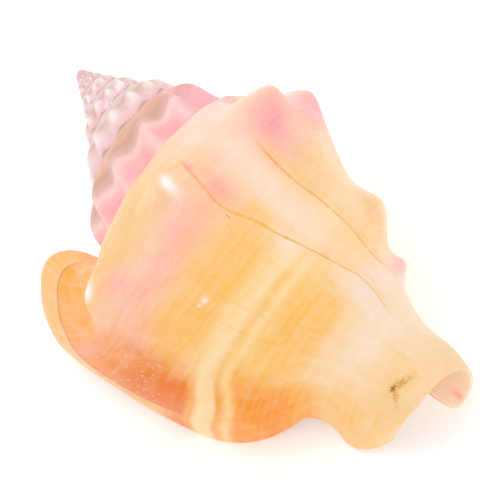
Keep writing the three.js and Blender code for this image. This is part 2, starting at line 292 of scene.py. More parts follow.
def growth_rule():
    tree, given, end = new_group(
        "growth rule", [("Turn", FLOAT), ("Across", FLOAT), ("Knobs", FLOAT)],
        [("Out", FLOAT), ("Down", FLOAT)])
    turn, across = given["Turn"], given["Across"]
    size = (turn / 360.0 * math.log(WIDENING)).math("EXPONENT")

    body_out, body_down = section_curves(across, BODY_SECTION)
    spire_out, spire_down = section_curves(across, SPIRE_SECTION)
    young = smooth(turn, *SPIRE_SHAPED) * (1.0 - across.math("GREATER_THAN", COVER + 0.001))
    out = blend(body_out, spire_out, young)
    down = blend(body_down, spire_down, young)

    tighten = smooth(across, 0.45, 1.0) * CANAL_TIGHTENS + 1.0
    keep = 1.0 - smooth(across, COVER, 1.0)
    out = out * (size ** tighten) * (1.0 - bell(size / TIP_NARROWS_AT) * TIP_NARROWS)
    down = down * (size ** keep) - (-(size / TIP_DRAWN_AT)).math("EXPONENT") * TIP_DRAWN_OUT

    lip_out, lip_down = section_curves(across, LIP_SECTION)
    lip_size = math.log(WIDENING) * LIP_TURN / 360
    back = (turn - LIP_TURN) / 360.0
    upper = (back / LIP_OPENS_ABOVE + 1.0).math("MAXIMUM", 0.0) ** 1.8
    lower = (back / LIP_OPENS_BELOW + 1.0).math("MAXIMUM", 0.0) ** 2.0
    opening = blend(upper, lower, smooth(across, 0.2, 0.5))
    out = out + opening * (lip_out - body_out * (tighten * lip_size).math("EXPONENT"))
    down = down + opening * (lip_down - body_down * (keep * lip_size).math("EXPONENT"))

    underside = (1.0 - (turn.math("RADIANS")).math("COSINE")) * (TIP_REACH / 2)
    down = down + underside * smooth(across, 0.7, 1.0) * smooth(turn, 100, 30)
    for at, place, height, wide, tall in SWELLINGS:
        out = out + bell((turn - at) / wide) * bell((across - place) / tall) * height

    bare = smooth(turn, *BARE_TURNS) * smooth(turn, *SPIRE_SHAPED) * smooth(across, 0.1, COVER)
    down = down + bare * smooth(across, 0.6, COVER) * BARE_MORE

    withdrawn = smooth(turn, *PILLAR_TURNS) * smooth(across, 0.62, 1.0)
    out = out * (1.0 - withdrawn * PILLAR_DRAWN_IN)
    down = down - withdrawn * PILLAR_DRAWN_UP

    knob = knob_height(turn, across) * size * given["Knobs"]
    feed(tree, out + knob, end.inputs["Out"])
    feed(tree, down - knob * KNOB_LIFT, end.inputs["Down"])
    return tree


def one_knob(turn_off, across_off, wide, reach_below=KNOB_BELOW):
    """A peak with a broader foot, and a low fold that runs on from it towards the canal."""
    below = across_off.math("GREATER_THAN", 0.0)
    reach = below * (reach_below - KNOB_ABOVE) + KNOB_ABOVE
    peak = bell(turn_off / wide) * (1.0 - KNOB_FOOT) + bell(turn_off / (wide * 2)) * KNOB_FOOT
    fold = bell(across_off / FOLD_REACH) * FOLD_SHARE * below
    return peak * (bell(across_off / reach) * (1.0 - below * FOLD_SHARE) + fold)


def knob_height(turn, across):
    height = 0.0
    for at, place, tall, wide in KNOBS:
        height = one_knob(turn - at, across - place, wide) * tall + height
    oldest = KNOBS[-1][0]
    nearest = ((turn - oldest) / SPIRE_KNOB_EVERY + 0.5).math("FRACT") - 0.5
    before = turn.math("LESS_THAN", oldest - SPIRE_KNOB_EVERY / 2)
    even = one_knob(nearest * SPIRE_KNOB_EVERY, across - SPIRE_KNOB_AT, SPIRE_KNOB_WIDE,
                    SPIRE_KNOB_BELOW)
    return height + even * before * SPIRE_KNOB_HEIGHT


section = growth_rule()
print("the growth rule takes", len(section.nodes), "nodes")

# %% [markdown]
# ## From rule to place
# The outside group turns out and down into a point in space, bends the canal, and seats the
# section's first edge on the whorl before, so that no gap shows in the seam. The inside group
# measures the surface's direction from two neighbouring points and steps inwards by the wall's
# thickness. It leaves the knobs out, because the snail smooths its room from within.

# %% The outside
def outside_group():
    tree, given, end = new_group(
        "outside", [("Turn", FLOAT), ("Across", FLOAT), ("Knobs", FLOAT)], [("Place", VECTOR)])
    turn, across, knobs = given["Turn"], given["Across"], given["Knobs"]
    out, down = ask(section, tree, turn, across, knobs)
    own_out, own_down = ask(section, tree, turn, 0.0, knobs)
    old_out, old_down = ask(section, tree, turn - 360.0, COVER, knobs)
    seat = (1.0 - across / SEAT_REACH).math("MAXIMUM", 0.0) ** 2.0
    out = out + seat * (old_out - own_out)
    down = down + seat * (old_down - own_down)

    bend = smooth(down, CANAL_FROM, CANAL_TO)
    angle = turn.math("RADIANS")
    node = tree.nodes.new("ShaderNodeCombineXYZ")
    feed(tree, down, node.inputs["X"])
    lean = smooth(down, 60, 8) * SPIRE_LEAN
    feed(tree, bend * CANAL_SHIFT + lean - out * angle.math("SINE"), node.inputs["Y"])
    feed(tree, out * angle.math("COSINE") + bend * CANAL_LIFT, node.inputs["Z"])
    tree.links.new(node.outputs[0], end.inputs["Place"])
    return tree


outside = outside_group()

# %% The inside
def inside_group():
    tree, given, end = new_group(
        "inside", [("Turn", FLOAT), ("Across", FLOAT), ("Knobs", FLOAT), ("Wall", FLOAT)],
        [("Place", VECTOR)])
    turn, across = given["Turn"], given["Across"]
    low = (across - 0.01).math("MAXIMUM", 0.0)
    high = (across + 0.01).math("MINIMUM", 1.0)
    here, = ask(outside, tree, turn, across, 0.0)
    before, = ask(outside, tree, turn - 1.0, across, 0.0)
    after, = ask(outside, tree, turn + 1.0, across, 0.0)
    above, = ask(outside, tree, turn, low, 0.0)
    below, = ask(outside, tree, turn, high, 0.0)
    along_growth = vector(tree, "SUBTRACT", after, before)
    along_section = vector(tree, "SUBTRACT", below, above)
    outward = vector(tree, "NORMALIZE", vector(tree, "CROSS_PRODUCT", along_growth, along_section))

    size = (turn / 720.0 * math.log(WIDENING)).math("EXPONENT")
    thick = bell((turn - (LIP_TURN - LIP_WALL_BACK)) / LIP_WALL_BACK)
    lip = thick * smooth(across, 0.05, 0.25) * smooth(across, 1.0, 0.8) * LIP_WALL
    wall = size * (1.0 - smooth(across, 0.7, 1.0) * CANAL_THINS) * given["Wall"] + lip
    moved = vector(tree, "SUBTRACT", here, scaled(tree, outward, wall))

    seat = (1.0 - across / 0.05).math("MAXIMUM", 0.0) ** 2.0
    older, = ask(outside, tree, turn - 360.0, COVER + SEAT, given["Knobs"])
    tree.links.new(blend_vectors(tree, moved, older, seat).socket, end.inputs["Place"])
    return tree


inside = inside_group()

# %% [markdown]
# ## Sheets of skin
# The skin is cut into sheets, each a plain grid whose rows run along the section and whose
# columns run along the growth. A grid is easy to bend: its corners are moved to where the
# rule puts them. Every sheet also writes down, on its face corners, where it is in the growth
# (turns, place on the section, and 0 for outside or 1 for inside). The material reads that, and
# keeping it on corners lets two sheets meet at a seam without mixing their values.

# %% Fineness
STEPS = 180            # columns in one whorl
SPIRE_ROWS = 22        # rows from the seam to the covering edge
SEAT_ROWS = 6          # rows under the next whorl's wall
BODY_ROWS = 78         # rows from there to the canal's end
last = round(WHORLS * STEPS)
first_room = last - round(ROOM_TURNS * STEPS)
all_rows = SPIRE_ROWS + SEAT_ROWS + BODY_ROWS
print("columns in all:", last, " rows on the last whorl:", all_rows)


# %% A sheet of skin
def grid_field(tree, axis):
    """0 to 1 across a grid, before it is bent."""
    position = tree.nodes.new("GeometryNodeInputPosition")
    split = tree.nodes.new("ShaderNodeSeparateXYZ")
    tree.links.new(position.outputs[0], split.inputs[0])
    return Field(tree, split.outputs[axis]) + 0.5


def across_of(row):
    """Place on the section for a row number: even within each of the three bands."""
    spire = (row / SPIRE_ROWS).math("MINIMUM", 1.0) * COVER
    seat = ((row - SPIRE_ROWS) / SEAT_ROWS).math("MAXIMUM", 0.0).math("MINIMUM", 1.0) * SEAT
    body = ((row - SPIRE_ROWS - SEAT_ROWS) / BODY_ROWS).math("MAXIMUM", 0.0)
    return spire + seat + body * (1.0 - COVER - SEAT)


def sheet(tree, columns, rows, place):
    """One bent grid; place(turn, across, a, b) says where its points go."""
    grid = tree.nodes.new("GeometryNodeMeshGrid")
    grid.inputs["Size X"].default_value = 1.0
    grid.inputs["Size Y"].default_value = 1.0
    grid.inputs["Vertices X"].default_value = columns[1] - columns[0] + 1
    grid.inputs["Vertices Y"].default_value = rows[1] - rows[0] + 1
    a, b = grid_field(tree, "X"), grid_field(tree, "Y")
    step = a * (columns[1] - columns[0]) + columns[0]
    turn = (step - last) * (360.0 / STEPS) + LIP_TURN
    across = across_of(b * (rows[1] - rows[0]) + rows[0])
    spot, turn, across, side = place(turn, across, a, b)

    note = tree.nodes.new("ShaderNodeCombineXYZ")
    feed(tree, turn / 360.0, note.inputs["X"])
    feed(tree, across, note.inputs["Y"])
    feed(tree, side, note.inputs["Z"])
    written = tree.nodes.new("GeometryNodeStoreNamedAttribute")
    written.data_type = "FLOAT_VECTOR"
    written.domain = "CORNER"
    written.inputs["Name"].default_value = "growth"
    tree.links.new(grid.outputs["Mesh"], written.inputs["Geometry"])
    tree.links.new(note.outputs[0], written.inputs["Value"])

    bent = tree.nodes.new("GeometryNodeSetPosition")
    tree.links.new(written.outputs["Geometry"], bent.inputs["Geometry"])
    feed(tree, spot, bent.inputs["Position"])
    return bent.outputs["Geometry"]


# %% [markdown]
# ## The rounded edges
# The outside and the inside meet in a rounded edge along the lip and round the canal's end. A
# half circle does it: the strip goes from one face to the other while it swells forwards by
# half the wall's thickness. At the seam end the strip shrinks onto the older whorl.

# %% The rounded edges
def rounded(tree, turn, across, share, knobs, wall):
    """A point of the half-round strip between the two faces; share goes 0 outside to 1 inside."""
    outer, = ask(outside, tree, turn, across, knobs)
    inner, = ask(inside, tree, turn, across, knobs, wall)
    back, = ask(outside, tree, turn - 1.0, across, 0.0)
    here, = ask(outside, tree, turn, across, 0.0)
    above, = ask(outside, tree, turn, (across - 0.01).math("MAXIMUM", 0.0), 0.0)
    growth = vector(tree, "NORMALIZE", vector(tree, "SUBTRACT", here, back))
    canal = vector(tree, "NORMALIZE", vector(tree, "SUBTRACT", here, above))
    at_lip = smooth(turn, LIP_TURN - 14, LIP_TURN)
    at_end = smooth(across, 0.93, 1.0)
    forward = vector(tree, "ADD", scaled(tree, growth, at_lip), scaled(tree, canal, at_end))
    forward = vector(tree, "NORMALIZE", forward)

    half_turn = share * math.pi
    half = vector(tree, "DISTANCE", outer, inner) * 0.5
    level = blend_vectors(tree, outer, inner, (1.0 - half_turn.math("COSINE")) * 0.5)
    strip = vector(tree, "ADD", level, scaled(tree, forward, half * half_turn.math("SINE")))
    seam, = ask(outside, tree, turn - 360.0, share * SEAT + COVER, knobs)
    return blend_vectors(tree, strip, seam, across.math("LESS_THAN", COVER / SPIRE_ROWS / 2))


# %% [markdown]
# ## The whole tree
# Six sheets make the skin: the spire, the last whorl, the older whorl seen through the opening,
# the inside of the wall, and the two rounded strips. They are joined, welded where they meet,
# scaled from millimetres, laid down on the opening and given their material. The wall's
# thickness, how strongly the knobs stand out and the way the shell lies come in by name, so the
# tree can be reused for a cousin.

# %% The whole tree
def shell_tree(material):
    tree, given, end = new_group(
        "conch shell",
        [("Wall", FLOAT), ("Knobs", FLOAT), ("Weld Distance", FLOAT), ("Lie", VECTOR),
         ("Lie Place", VECTOR)],
        [("Shell", "NodeSocketGeometry")])
    knobs, wall = given["Knobs"], given["Wall"]

    def skin(turn, across, a, b):
        return ask(outside, tree, turn, across, knobs)[0], turn, across, 0.0

    def room(turn, across, a, b):
        return ask(inside, tree, turn, across, knobs, wall)[0], turn, across, 1.0

    def lip_strip(turn, across, a, b):
        lip = turn * 0.0 + LIP_TURN
        return rounded(tree, lip, across, a, knobs, wall), lip, across, a

    def end_strip(turn, across, a, b):
        end_of = across * 0.0 + 1.0
        return rounded(tree, turn, end_of, b, knobs, wall), turn, end_of, b

    older = last - STEPS
    sheets = [
        sheet(tree, (0, older), (0, SPIRE_ROWS), skin),
        sheet(tree, (older, last), (0, all_rows), skin),
        sheet(tree, (first_room - STEPS, older), (SPIRE_ROWS + SEAT_ROWS, all_rows), skin),
        sheet(tree, (first_room, last), (0, all_rows), room),
        sheet(tree, (0, SEAT_ROWS), (0, all_rows), lip_strip),
        sheet(tree, (first_room, last), (0, SEAT_ROWS), end_strip),
    ]
    joined = tree.nodes.new("GeometryNodeJoinGeometry")
    for mesh in sheets:
        tree.links.new(mesh, joined.inputs["Geometry"])
    weld = tree.nodes.new("GeometryNodeMergeByDistance")
    tree.links.new(joined.outputs[0], weld.inputs["Geometry"])
    feed(tree, given["Weld Distance"], weld.inputs["Distance"])

    lay = tree.nodes.new("GeometryNodeTransform")
    tree.links.new(weld.outputs[0], lay.inputs["Geometry"])
    lay.inputs["Scale"].default_value = (MM, MM, MM)
    feed(tree, given["Lie"], lay.inputs["Rotation"])
    feed(tree, given["Lie Place"], lay.inputs["Translation"])

    level = tree.nodes.new("GeometryNodeSetPosition")
    position = tree.nodes.new("GeometryNodeInputPosition")
    lifted = vector(tree, "MAXIMUM", Field(tree, position.outputs[0]), (-1.0, -1.0, 0.0))
    tree.links.new(lay.outputs[0], level.inputs["Geometry"])
    feed(tree, lifted, level.inputs["Position"])

    even = tree.nodes.new("GeometryNodeSetShadeSmooth")
    real = tree.nodes.new("GeometryNodeRealizeInstances")
    painted = tree.nodes.new("GeometryNodeSetMaterial")
    painted.inputs["Material"].default_value = material
    tree.links.new(level.outputs[0], even.inputs["Geometry"])
    tree.links.new(even.outputs[0], real.inputs["Geometry"])
    tree.links.new(real.outputs[0], painted.inputs["Geometry"])
    tree.links.new(painted.outputs[0], end.inputs["Shell"])
    return tree


# %% [markdown]
# ## Grow it
# The tree runs as a modifier on an empty mesh. Its inputs are set by the sockets' identifiers
# before it is evaluated, and then the evaluated result is kept as a plain mesh, so nothing of
# the tree is left on the finished piece.

# %% Grow it
WELD_DISTANCE = 0.002  # mm


def grow(tree, name):
    """Runs the tree on an empty mesh and keeps the result as a plain mesh."""
    seed = bpy.data.objects.new("seed", bpy.data.meshes.new("seed"))
    bpy.context.scene.collection.objects.link(seed)
    modifier = seed.modifiers.new("growth", "NODES")
    modifier.node_group = tree
    sockets = {item.name: item.identifier for item in tree.interface.items_tree}
    modifier[sockets["Wall"]] = WALL
    modifier[sockets["Knobs"]] = 1.0
    modifier[sockets["Weld Distance"]] = WELD_DISTANCE
    modifier[sockets["Lie"]] = [math.radians(REST_TURNS[0]), math.radians(REST_TURNS[1]), 0.0]
    modifier[sockets["Lie Place"]] = [x * MM for x in REST_PLACE]
    evaluated = seed.evaluated_get(bpy.context.evaluated_depsgraph_get())
    mesh = bpy.data.meshes.new_from_object(evaluated)
    mesh.name = name
    bpy.data.objects.remove(seed)
    piece = bpy.data.objects.new(name, mesh)
    bpy.context.scene.collection.objects.link(piece)
    return piece


shell_finish = bpy.data.materials.new("shell lime")
shell_finish.use_nodes = True
shell = grow(shell_tree(shell_finish), "conch")
print("grown:", len(shell.data.vertices), "points,", len(shell.data.polygons), "faces")

# %% [markdown]
# ## Closing the skin
# Two places are still open: the very tip of the spire, and the far end of the room inside with
# the end of the central pillar. Each is a ring of edges that has a face on one side only. A
# ring is closed with a fan of triangles to its middle, and the tip's fan ends a little beyond.

# %% Closing the skin
def open_rings(bm):
    """The rings of points that bound the mesh's holes."""
    rings = []
    edges = {edge for edge in bm.edges if edge.is_boundary}
    while edges:
        edge = edges.pop()
        ring = [edge.verts[0], edge.verts[1]]
        while True:
            onward = [e for e in ring[-1].link_edges if e in edges]
            if not onward:
                break
            edges.discard(onward[0])
            ring.append(onward[0].other_vert(ring[-1]))
        rings.append(ring[:-1] if ring[0] is ring[-1] else ring)
    return rings


def close_with_fan(bm, ring, centre=None):
    notes = bm.loops.layers.float_vector["growth"]
    if centre is None:
        centre = sum((point.co for point in ring), Vector()) / len(ring)
    middle = bm.verts.new(centre)
    for k, point in enumerate(ring):
        after = ring[(k + 1) % len(ring)]
        old = {loop.vert: loop[notes].copy() for face in point.link_faces for loop in face.loops}
        face = bm.faces.new((point, after, middle))
        face.smooth = True
        for loop in face.loops:
            loop[notes] = old.get(loop.vert, old.get(point, Vector()))


def corner_note(point, notes):
    """The smallest turn that is written on a point's face corners, with its place and side."""
    return min((tuple(loop[notes]) for loop in point.link_loops), default=(0.0, 0.0, 0.0))


def close_skin(piece):
    bm = bmesh.new()
    bm.from_mesh(piece.data)
    notes = bm.loops.layers.float_vector["growth"]
    rings = open_rings(bm)
    print("open rings:", [len(ring) for ring in rings])
    for ring in rings:
        marks = [corner_note(point, notes) for point in ring]
        deepest = [k for k, mark in enumerate(marks) if mark[2] < 0.5 and mark[1] > 0.999]
        if not deepest:
            middle = sum((point.co for point in ring), Vector()) / len(ring)
            along = (middle - sum((point.co for point in bm.verts), Vector()) / len(bm.verts))
            close_with_fan(bm, ring, middle + along.normalized() * TIP_LENGTH * MM)
            continue
        pillar = min(deepest, key=lambda k: marks[k][0])
        wall = min((k for k, mark in enumerate(marks) if mark[2] > 0.5 and mark[1] > 0.999),
                   key=lambda k: marks[k][0])
        first, second = sorted((pillar, wall))
        close_with_fan(bm, ring[first:second + 1])
        close_with_fan(bm, ring[second:] + ring[:first + 1])
    bmesh.ops.recalc_face_normals(bm, faces=bm.faces)
    open_edges = sum(not edge.is_manifold for edge in bm.edges)
    print("open or doubled edges left:", open_edges)
    print("volume, cm3:", round(bm.calc_volume() * 1e6, 1))
    bm.to_mesh(piece.data)
    bm.free()


close_skin(shell)

# %% [markdown]
# ## Paint
# A shell's colours are laid down while it grows, so they follow the growth: bands run on
# whorl after whorl at one place on the section, and lines mark where growth once stopped. The
# material therefore reads the growth attribute. Every colour is written as it looks on a
# screen, and one helper turns it into the linear numbers that a shader wants.

# %% Paints
def paint(red, green, blue):
    """A colour as seen on a screen, 0 to 255, turned into the linear numbers a shader wants."""
    def linear(x):
        x = x / 255
        return x / 12.92 if x <= 0.04045 else ((x + 0.055) / 1.055) ** 2.4
    return (linear(red), linear(green), linear(blue), 1.0)


nodes = shell_finish.node_tree
shader = nodes.nodes["Principled BSDF"]


def over(under, top, share):
    """Lays a paint over another, as much of it as share says."""
    node = nodes.nodes.new("ShaderNodeMix")
    node.data_type = "RGBA"
    feed(nodes, share, node.inputs[0])
    feed(nodes, under, node.inputs[6])
    feed(nodes, top, node.inputs[7])
    return Field(nodes, node.outputs[2])


def bands(field, stops):
    """A row of colours along a field, one easing into the next."""
    node = nodes.nodes.new("ShaderNodeValToRGB")
    node.color_ramp.interpolation = "EASE"
    ramp = node.color_ramp.elements
    while len(ramp) < len(stops):
        ramp.new(0.5)
    for element, (place, colour) in zip(ramp, stops):
        element.position = place
        element.color = colour
    feed(nodes, field, node.inputs[0])
    return Field(nodes, node.outputs[0])


def noise(x, y, detail, z=0.0, rough=0.5):
    """Cloudy variation, 0 to 1, over two fields."""
    spot = nodes.nodes.new("ShaderNodeCombineXYZ")
    feed(nodes, x, spot.inputs["X"])
    feed(nodes, y, spot.inputs["Y"])
    feed(nodes, z, spot.inputs["Z"])
    node = nodes.nodes.new("ShaderNodeTexNoise")
    node.inputs["Scale"].default_value = 1.0
    node.inputs["Detail"].default_value = detail
    node.inputs["Roughness"].default_value = rough
    nodes.links.new(spot.outputs[0], node.inputs["Vector"])
    return Field(nodes, node.outputs[0])


def clamp(field):
    return field.math("MINIMUM", 1.0).math("MAXIMUM", 0.0)


# %% Where a spot is in the growth
note = nodes.nodes.new("ShaderNodeAttribute")
note.attribute_name = "growth"
parts = nodes.nodes.new("ShaderNodeSeparateXYZ")
nodes.links.new(note.outputs["Vector"], parts.inputs[0])
turn = Field(nodes, parts.outputs["X"]) * 360.0
across = Field(nodes, parts.outputs["Y"])
side = Field(nodes, parts.outputs["Z"])

# %% [markdown]
# ## Clouds and streaks
# Nothing alive is even. Five noises serve the whole material: a slow drift and a quicker wander
# that bend every edge of a band, streaks that run along the spiral, fine lines that run with
# the growing edge, and a cloud of small blotches. The streaks and the lines are stretched on
# purpose: a noise becomes a streak when one of its coordinates moves much faster than the other.

# %% Clouds and streaks
drift = noise(turn / 40.0, across * 3.0, 2.0) - 0.5
wander = noise(turn / 14.0, across * 9.0, 4.0) - 0.5
streak = noise(turn / 34.0, across * 90.0, 2.0, 7.0) - 0.5
fine = noise(turn * 0.45, across * 5.0, 2.0, 3.0) - 0.5
cloud = noise(turn / 9.0, across * 22.0, 5.0, 11.0, 0.6) - 0.5
near_band = across + wander * 0.014 + drift * 0.02
loose_turn = turn + wander * 26.0 + drift * 14.0

# %% [markdown]
# ## The bands of the last whorl
# Three rows of colour cover three ages of the last whorl. The oldest part, towards the far side,
# is pale peach. The middle of the back carries golden bands with a pale stripe between them.
# Just behind the lip the same bands turn a deep orange. One eases into the next.

# %% The bands of the last whorl
old_bands = bands(near_band, [
    (0.00, paint(244, 190, 182)), (0.05, paint(249, 210, 194)), (0.12, paint(251, 218, 198)),
    (0.20, paint(251, 212, 182)), (0.28, paint(251, 204, 174)), (0.36, paint(252, 204, 162)),
    (0.45, paint(253, 210, 158)), (0.55, paint(254, 220, 178)), (0.65, paint(254, 210, 156)),
    (0.74, paint(252, 220, 196)), (0.85, paint(250, 220, 188)), (1.00, paint(247, 208, 164)),
])
middle_bands = bands(near_band, [
    (0.00, paint(244, 188, 160)), (0.04, paint(249, 200, 150)), (0.12, paint(250, 207, 160)),
    (0.20, paint(249, 200, 146)), (0.28, paint(251, 204, 170)), (0.36, paint(252, 196, 158)),
    (0.41, paint(252, 198, 130)), (0.50, paint(252, 198, 120)), (0.53, paint(253, 212, 152)),
    (0.56, paint(254, 220, 170)), (0.582, paint(252, 202, 130)), (0.600, paint(253, 214, 152)),
    (0.625, paint(252, 202, 124)), (0.72, paint(252, 198, 122)), (0.765, paint(252, 214, 166)),
    (0.82, paint(252, 220, 184)), (0.92, paint(250, 210, 158)), (1.00, paint(248, 212, 168)),
])
lip_place = near_band - smooth(turn, 56, 82) * 0.035
lip_bands = bands(lip_place, [
    (0.00, paint(247, 172, 88)), (0.10, paint(249, 170, 74)), (0.20, paint(248, 166, 76)),
    (0.27, paint(247, 156, 72)), (0.33, paint(245, 144, 56)), (0.38, paint(241, 128, 34)),
    (0.46, paint(239, 122, 24)), (0.515, paint(239, 120, 12)), (0.535, paint(246, 168, 84)),
    (0.55, paint(252, 216, 158)), (0.575, paint(252, 214, 160)), (0.584, paint(246, 168, 84)),
    (0.604, paint(252, 206, 138)), (0.625, paint(246, 154, 50)), (0.69, paint(245, 148, 28)),
    (0.745, paint(248, 176, 78)), (0.79, paint(252, 202, 132)), (1.00, paint(251, 206, 148)),
])
body = over(old_bands, middle_bands, smooth(loose_turn, -24, 8))
body = over(body, lip_bands, smooth(loose_turn, 48, 80))

# %% [markdown]
# ## Patches
# Some marks belong to one spot only: the pink on the knobs and their white worn tips, the pale
# zone behind an old edge, a few golden clouds. Each is a soft hump in the two growth
# coordinates. A row says where it is, how far it reaches, its colour and how strong it is.

# %% Patches
ROSE, PALE, GOLD = paint(254, 172, 174), paint(252, 226, 210), paint(252, 186, 92)
CHALK, TAN = paint(252, 246, 244), paint(246, 188, 128)
# degrees, place on the section, reach in degrees, reach on the section, colour, strength
PATCHES = [
    (-21, 0.40, 8, 0.24, PALE, 0.7), (-20, 0.78, 12, 0.10, PALE, 0.5),
    (12, 0.84, 30, 0.05, PALE, 0.4), (-10, 0.53, 5, 0.035, PALE, 0.8),
    (-72, 0.60, 12, 0.06, TAN, 0.75), (-48, 0.50, 16, 0.10, TAN, 0.25),
    (10, 0.455, 11, 0.04, GOLD, 0.3), (22, 0.66, 22, 0.03, GOLD, 0.4),
    (42, 0.455, 12, 0.045, GOLD, 0.5), (52, 0.15, 14, 0.06, GOLD, 0.7),
    (26, 0.14, 12, 0.05, GOLD, 0.35), (84, 0.30, 12, 0.03, ROSE, 0.35),
    (30, 0.325, 24, 0.028, ROSE, 0.4), (14, 0.31, 6, 0.03, ROSE, 0.35),
    (44, 0.26, 5, 0.05, ROSE, 0.5), (60, 0.40, 9, 0.025, ROSE, 0.35),
    (-42, 0.30, 9, 0.08, ROSE, 1.0), (-76, 0.30, 22, 0.06, ROSE, 1.0),
    (-6.5, 0.33, 3.6, 0.045, ROSE, 0.8), (-4.5, 0.24, 1.6, 0.02, ROSE, 0.9),
    (-78, 0.74, 16, 0.02, ROSE, 0.8), (-50, 0.035, 10, 0.03, ROSE, 0.9),
    (53, 0.20, 2.4, 0.022, CHALK, 1.0), (4.5, 0.245, 1.9, 0.032, CHALK, 1.0),
    (-52, 0.20, 4, 0.025, CHALK, 0.6), (31, 0.465, 1.3, 0.007, CHALK, 0.9),
    (34, 0.462, 0.8, 0.004, CHALK, 0.7),
]
for at, place, wide, tall, colour, strength in PATCHES:
    hump = bell((turn - at + wander * wide) / wide) * bell((near_band - place) / tall)
    body = over(body, colour, hump * strength)
print("patches laid:", len(PATCHES))

# %% [markdown]
# ## Old edges
# Growth rests now and then, and the lip of that time stays as a line across the whorl. On this
# shell two long golden lines and three faint ones run from the knobs towards the canal. A line is a
# curve through a few points, place on the section against degrees, and the paint is strong where
# the turn is close to that curve. Beside each line, on the side that grew earlier, a faint golden
# tint is painted shade: it stands in for the shade of the old edge's low step.

# %% Old edges
OLD_EDGES = [
    ([(0.31, -31), (0.37, -31), (0.45, -33), (0.50, -36), (0.60, -42), (0.70, -50),
      (0.75, -63)], 0.9),
    ([(0.20, -4), (0.30, -3), (0.37, -2.5), (0.45, -7), (0.52, -10), (0.60, -15), (0.66, -20),
      (0.72, -27), (0.82, -28)], 0.85),
    ([(0.40, 33), (0.55, 37), (0.65, 38), (0.75, 40), (0.85, 43), (0.93, 46)], 0.22),
    ([(0.35, 20), (0.55, 21), (0.75, 24)], 0.16), ([(0.38, 25), (0.60, 27), (0.80, 29)], 0.16),
]
lines = 0.0
for places, strength in OLD_EDGES:
    start, stop = places[0][0], places[-1][0]
    middle = drawn_curve(across, [(v, t + 180) for v, t in places], 360) - 180.0
    off = turn - middle + wander * 1.4 + fine * 0.5
    here = smooth(across, start - 0.03, start + 0.04) * smooth(across, stop + 0.04, stop - 0.04)
    lines = bell(off / (0.35 + strength * 0.2)) * here * (cloud + 1.0) * strength + lines
    # Painted shade: a faint golden tint beside each old edge, on the side that grew earlier, where
    # its low step is shaded.
    edge_shade_and_canal_glow = bell((off + 3.0) / 4.0) * here * strength
    body = over(body, GOLD, edge_shade_and_canal_glow * 0.25)
lines = clamp(lines)
body = over(body, paint(236, 172, 74), lines * 0.9)
print("old edges drawn:", len(OLD_EDGES))

# %% [markdown]
# ## Wear near the lip, a crack and a brown mark
# The deep orange behind the lip is scuffed: small pale chips in rows that follow the growing
# edge. A short hairline crack sits beside the second knob, and low on the back, beside the
# canal, is a brown mark with a dark middle and a rusty spray around it.

# %% Wear, crack and mark
chips = noise(turn * 0.5, across * 70.0, 5.0, 21.0, 0.75) - 0.5
scuffed = smooth(turn, 56, 66) * bell((lip_place - 0.425) / 0.06) * smooth(turn, 108, 100)
body = over(body, paint(254, 232, 214), smooth(chips, 0.07, 0.15) * scuffed * 0.85)
body = over(body, paint(232, 112, 40), smooth(chips, -0.08, -0.2) * scuffed * 0.5)

crack = bell((turn + 1.2 + fine * 0.6) / 0.12)
crack = crack * smooth(across, 0.378, 0.384) * smooth(across, 0.400, 0.392)
body = over(body, paint(150, 110, 84), crack * 0.4)

MARK_TURN, MARK_PLACE = 41.0, 0.938      # the mark's dark middle
older_side = (MARK_TURN - turn).math("MAXIMUM", 0.0)
newer_side = (turn - MARK_TURN).math("MAXIMUM", 0.0)
arms = across - MARK_PLACE - older_side * 0.0009 - newer_side * 0.0016 + wander * 0.01
near_mark = bell((turn - 36.0) / 25.0)
grain = noise(turn * 0.8, across * 130.0, 4.0, 31.0, 0.7) - 0.5
haze = bell(arms / 0.022) * near_mark
spray = bell(arms / 0.013) * near_mark
rust = smooth(grain + spray * 0.3, 0.16, 0.3)
heart = bell((turn - MARK_TURN - 1.0) / 5.5) * bell((across - MARK_PLACE) / 0.007)
body = over(body, paint(242, 196, 116), clamp(haze * 0.6))
body = over(body, paint(212, 150, 70), rust * 0.85)
body = over(body, paint(170, 106, 46), smooth(grain + heart * 0.4, 0.12, 0.3) * heart)

# %% [markdown]
# ## The spire
# The whorl before the last has a brown-beige ramp and a rose band on its knobs, with a painted
# highlight on one side of each knob. The older ones fade to a pale, chalky pink with worn white
# knobs, and redden again towards the tip. Every row of colour darkens at both ends, where it meets
# a suture: that is painted shade in the seams.

# %% The spire
nearest = ((turn - KNOBS[-1][0]) / SPIRE_KNOB_EVERY + 0.5).math("FRACT") - 0.5
scallop = (nearest * (2.0 * math.pi)).math("COSINE")
ramp_place = across / COVER + wander * 0.1 + scallop * 0.03
# Painted shade: both ends of this row, at the sutures, are darker.
spire = bands(ramp_place, [
    (0.00, paint(208, 150, 124)), (0.05, paint(226, 178, 154)), (0.30, paint(230, 178, 150)),
    (0.46, paint(216, 168, 150)), (0.56, paint(224, 180, 168)), (0.66, paint(250, 208, 204)),
    (0.74, paint(251, 186, 186)), (0.86, paint(250, 176, 178)), (0.97, paint(251, 196, 188)),
    (1.00, paint(226, 156, 152)),
])
# Painted highlight: one side of each knob is painted lighter.
lit_side = bell((nearest - 0.12) / 0.16) * smooth(ramp_place, 0.6, 0.75)
spire = over(spire, paint(252, 214, 210), lit_side * 0.7)
spire = over(spire, paint(246, 176, 184), smooth(turn + wander * 60.0, -385, -415) * 0.7)
